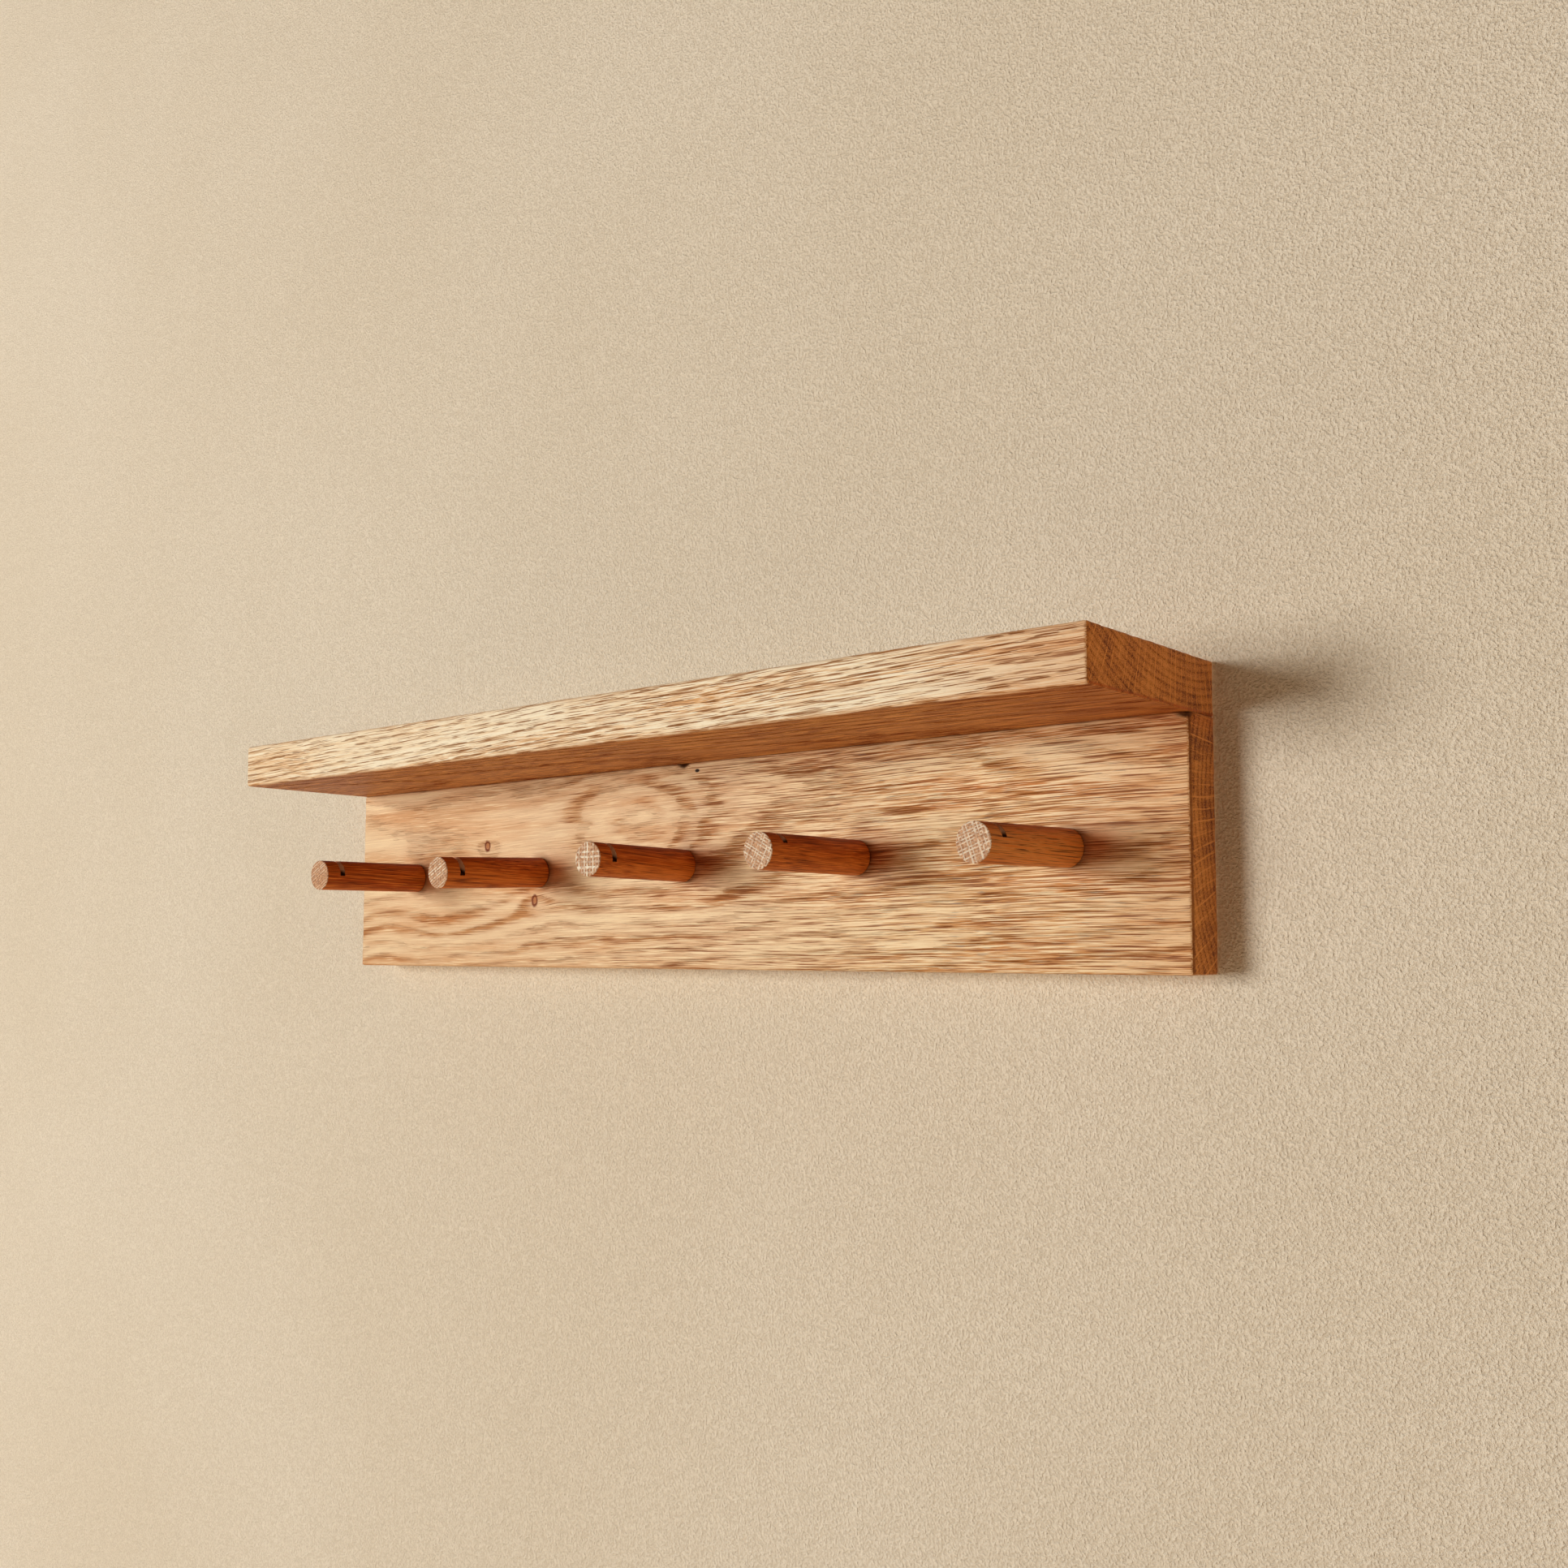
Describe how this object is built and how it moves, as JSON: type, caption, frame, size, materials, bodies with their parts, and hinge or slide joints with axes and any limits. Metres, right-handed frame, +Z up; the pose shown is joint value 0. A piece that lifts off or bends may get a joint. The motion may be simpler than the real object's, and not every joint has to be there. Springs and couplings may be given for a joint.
{
  "type": "shaker peg rail with shelf",
  "caption": "Oak wall rail with round notched pegs for coats and a narrow shelf along its top edge, hung from keyhole plates let into the back.",
  "frame": {"origin": "centre of the back board's rear face, on the wall, at the height of the pegs", "axes": "+X along the rail to the right, +Y into the wall, so the pegs point along -Y, +Z up"},
  "size_m": [0.5, 0.095, 0.116],
  "materials": {
    "oak_board": "oiled, sanded",
    "oak_peg": "oiled, sawn ends",
    "beech_dowel": "raw",
    "zinc_plated_steel": "zinc plated",
    "screw_steel": "zinc plated"
  },
  "bodies": {
    "root": {"back_rail": "oak_board", "shelf": "oak_board", "peg_1": "oak_peg", "peg_2": "oak_peg", "peg_3": "oak_peg", "peg_4": "oak_peg", "peg_5": "oak_peg", "shelf_dowel_1": "beech_dowel", "shelf_dowel_2": "beech_dowel", "shelf_dowel_3": "beech_dowel", "shelf_dowel_4": "beech_dowel", "shelf_dowel_5": "beech_dowel", "keyhole_plate_left": "zinc_plated_steel", "keyhole_plate_right": "zinc_plated_steel", "plate_screw_left_top": "screw_steel", "plate_screw_left_bottom": "screw_steel", "plate_screw_right_top": "screw_steel", "plate_screw_right_bottom": "screw_steel"}
  },
  "joints": []
}
